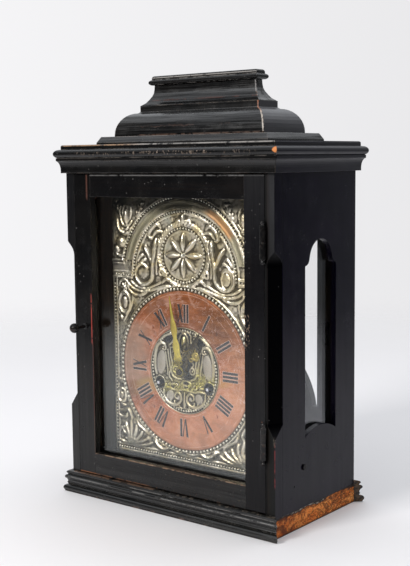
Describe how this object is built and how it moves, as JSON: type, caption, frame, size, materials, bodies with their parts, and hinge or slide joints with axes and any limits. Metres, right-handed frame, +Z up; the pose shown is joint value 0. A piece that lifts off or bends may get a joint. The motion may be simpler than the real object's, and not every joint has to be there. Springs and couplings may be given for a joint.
{
  "type": "religieuse clock",
  "caption": "Ebonised bracket clock with a stepped moulded roof, arched side windows and a glazed front door over an embossed metal dial with a copper chapter ring.",
  "frame": {"origin": "middle of the underside of the base, on the surface it stands on", "axes": "+X to the right seen from the front, +Y to the back, +Z up; the front door and dial face -Y"},
  "size_m": [0.3218, 0.1992, 0.5026],
  "materials": {
    "ebonised_wood": "worn ebonised polish over brown wood, rubbed through at the edges",
    "bare_wood": "bare orange-brown wood with dark figure",
    "inner_wood": "plain unpolished inner wood, darkened",
    "glass": "clear old sheet glass",
    "black_iron": "blackened iron, a little rusty",
    "silvered_brass": "silvered repousse brass, tarnished",
    "copper_ring": "copper with a red-brown patina and engraved numerals",
    "gilt_brass": "polished yellow brass",
    "brass": "aged brass",
    "steel": "plain worked steel"
  },
  "bodies": {
    "case": {"plinth_board": "bare_wood", "base_moulding_front": "ebonised_wood", "base_moulding_left": "ebonised_wood", "base_moulding_back": "ebonised_wood", "side_panel_left": "ebonised_wood", "side_panel_right": "ebonised_wood", "side_glass_left": "glass", "side_glass_right": "glass", "carcass_top": "inner_wood", "cornice_front": "ebonised_wood", "cornice_back": "ebonised_wood", "cornice_left": "ebonised_wood", "cornice_right": "ebonised_wood", "roof_step_board": "ebonised_wood", "ovolo_front": "ebonised_wood", "ovolo_back": "ebonised_wood", "ovolo_left": "ebonised_wood", "ovolo_right": "ebonised_wood", "roof_cavetto": "ebonised_wood", "roof_cap": "ebonised_wood", "hinge_posts": "black_iron", "side_screw": "black_iron", "dial_board": "inner_wood", "dial_rails": "inner_wood", "dial_plate": "silvered_brass", "chapter_ring": "copper_ring", "dial_centre": "silvered_brass", "dial_feet": "brass", "front_plate": "brass", "back_plate": "brass", "plate_pillars": "brass", "bell": "brass", "bell_stand": "steel", "pendulum_cock": "brass"},
    "front_door": {"door_stile_left": "ebonised_wood", "door_stile_right": "ebonised_wood", "door_rail_top": "ebonised_wood", "door_rail_bottom": "ebonised_wood", "door_glass": "glass", "hinge_knuckles": "black_iron"},
    "door_catch": {"door_knob": "black_iron"},
    "rear_door": {"back_door": "ebonised_wood"},
    "rear_catch": {"back_latch": "black_iron"},
    "centre_arbor": {"minute_hand": "gilt_brass", "cannon_pinion": "brass", "centre_wheel": "brass"},
    "hour_pipe": {"hour_hand": "gilt_brass", "hour_wheel": "brass"},
    "motion_wheel": {"minute_wheel": "brass"},
    "going_drum": {"going_barrel": "brass"},
    "going_winder": {"going_arbor": "steel"},
    "third_arbor": {"third_wheel": "brass"},
    "escape_arbor": {"escape_wheel": "brass"},
    "pallet_arbor": {"anchor": "steel"},
    "pendulum": {"pendulum_rod": "steel", "pendulum_bob": "brass"},
    "strike_drum": {"strike_barrel": "brass"},
    "strike_winder": {"strike_arbor": "steel"},
    "pin_arbor": {"pin_wheel": "brass"},
    "bell_hammer": {"hammer": "steel"}
  },
  "joints": [
    {"name": "front_door_hinge", "type": "hinge", "parent": "case", "child": "front_door", "pos_m": [0.1377, -0.0856, 0.2035], "axis": [0, 0, 1], "range_deg": [0, 110]},
    {"name": "door_catch_turn", "type": "hinge", "parent": "front_door", "child": "door_catch", "pos_m": [-0.1237, -0.08, 0.2065], "axis": [0, 1, 0], "range_deg": [0, 90]},
    {"name": "rear_door_hinge", "type": "hinge", "parent": "case", "child": "rear_door", "pos_m": [-0.132, 0.077, 0.2], "axis": [0, 0, 1], "range_deg": [0, 95]},
    {"name": "rear_catch_turn", "type": "hinge", "parent": "rear_door", "child": "rear_catch", "pos_m": [0.118, 0.077, 0.209], "axis": [0, -1, 0], "range_deg": [0, 90]},
    {"name": "minute_spin", "type": "hinge", "parent": "case", "child": "centre_arbor", "pos_m": [0, -0.03, 0.1605], "axis": [0, 1, 0], "continuous": true},
    {"name": "hour_spin", "type": "hinge", "parent": "case", "child": "hour_pipe", "pos_m": [0, -0.045, 0.1605], "axis": [0, 1, 0], "continuous": true},
    {"name": "motion_wheel_spin", "type": "hinge", "parent": "case", "child": "motion_wheel", "pos_m": [0, -0.036, 0.1785], "axis": [0, 1, 0], "continuous": true},
    {"name": "going_drum_spin", "type": "hinge", "parent": "case", "child": "going_drum", "pos_m": [-0.0363, -0.01, 0.1433], "axis": [0, 1, 0], "continuous": true},
    {"name": "going_winding", "type": "hinge", "parent": "case", "child": "going_winder", "pos_m": [-0.0363, -0.04, 0.1433], "axis": [0, 1, 0], "continuous": true},
    {"name": "third_spin", "type": "hinge", "parent": "case", "child": "third_arbor", "pos_m": [0, -0.01, 0.1853], "axis": [0, 1, 0], "continuous": true},
    {"name": "escape_spin", "type": "hinge", "parent": "case", "child": "escape_arbor", "pos_m": [0, 0, 0.2051], "axis": [0, 1, 0], "continuous": true},
    {"name": "pendulum_swing", "type": "hinge", "parent": "case", "child": "pendulum", "pos_m": [0, 0.0305, 0.2226], "axis": [0, 1, 0], "range_deg": [-4, 4]},
    {"name": "pallet_rock", "type": "hinge", "parent": "case", "child": "pallet_arbor", "pos_m": [0, 0, 0.2226], "axis": [0, 1, 0], "range_deg": [-4, 4]},
    {"name": "strike_drum_spin", "type": "hinge", "parent": "case", "child": "strike_drum", "pos_m": [0.0363, 0, 0.1433], "axis": [0, 1, 0], "continuous": true},
    {"name": "strike_winding", "type": "hinge", "parent": "case", "child": "strike_winder", "pos_m": [0.0363, -0.04, 0.1433], "axis": [0, 1, 0], "continuous": true},
    {"name": "pin_spin", "type": "hinge", "parent": "case", "child": "pin_arbor", "pos_m": [0.0467, 0, 0.1821], "axis": [0, 1, 0], "continuous": true},
    {"name": "hammer_lift", "type": "hinge", "parent": "case", "child": "bell_hammer", "pos_m": [0.05, 0, 0.205], "axis": [0, 1, 0], "range_deg": [0, 20]}
  ],
  "couplings": [
    {"joint": "hour_spin", "follows": "minute_spin", "ratio": 0.083333},
    {"joint": "motion_wheel_spin", "follows": "minute_spin", "ratio": -0.33333},
    {"joint": "going_drum_spin", "follows": "minute_spin", "ratio": -0.14286},
    {"joint": "third_spin", "follows": "minute_spin", "ratio": -9},
    {"joint": "escape_spin", "follows": "minute_spin", "ratio": 72},
    {"joint": "pallet_rock", "follows": "pendulum_swing", "ratio": 1},
    {"joint": "pin_spin", "follows": "strike_drum_spin", "ratio": -7}
  ]
}
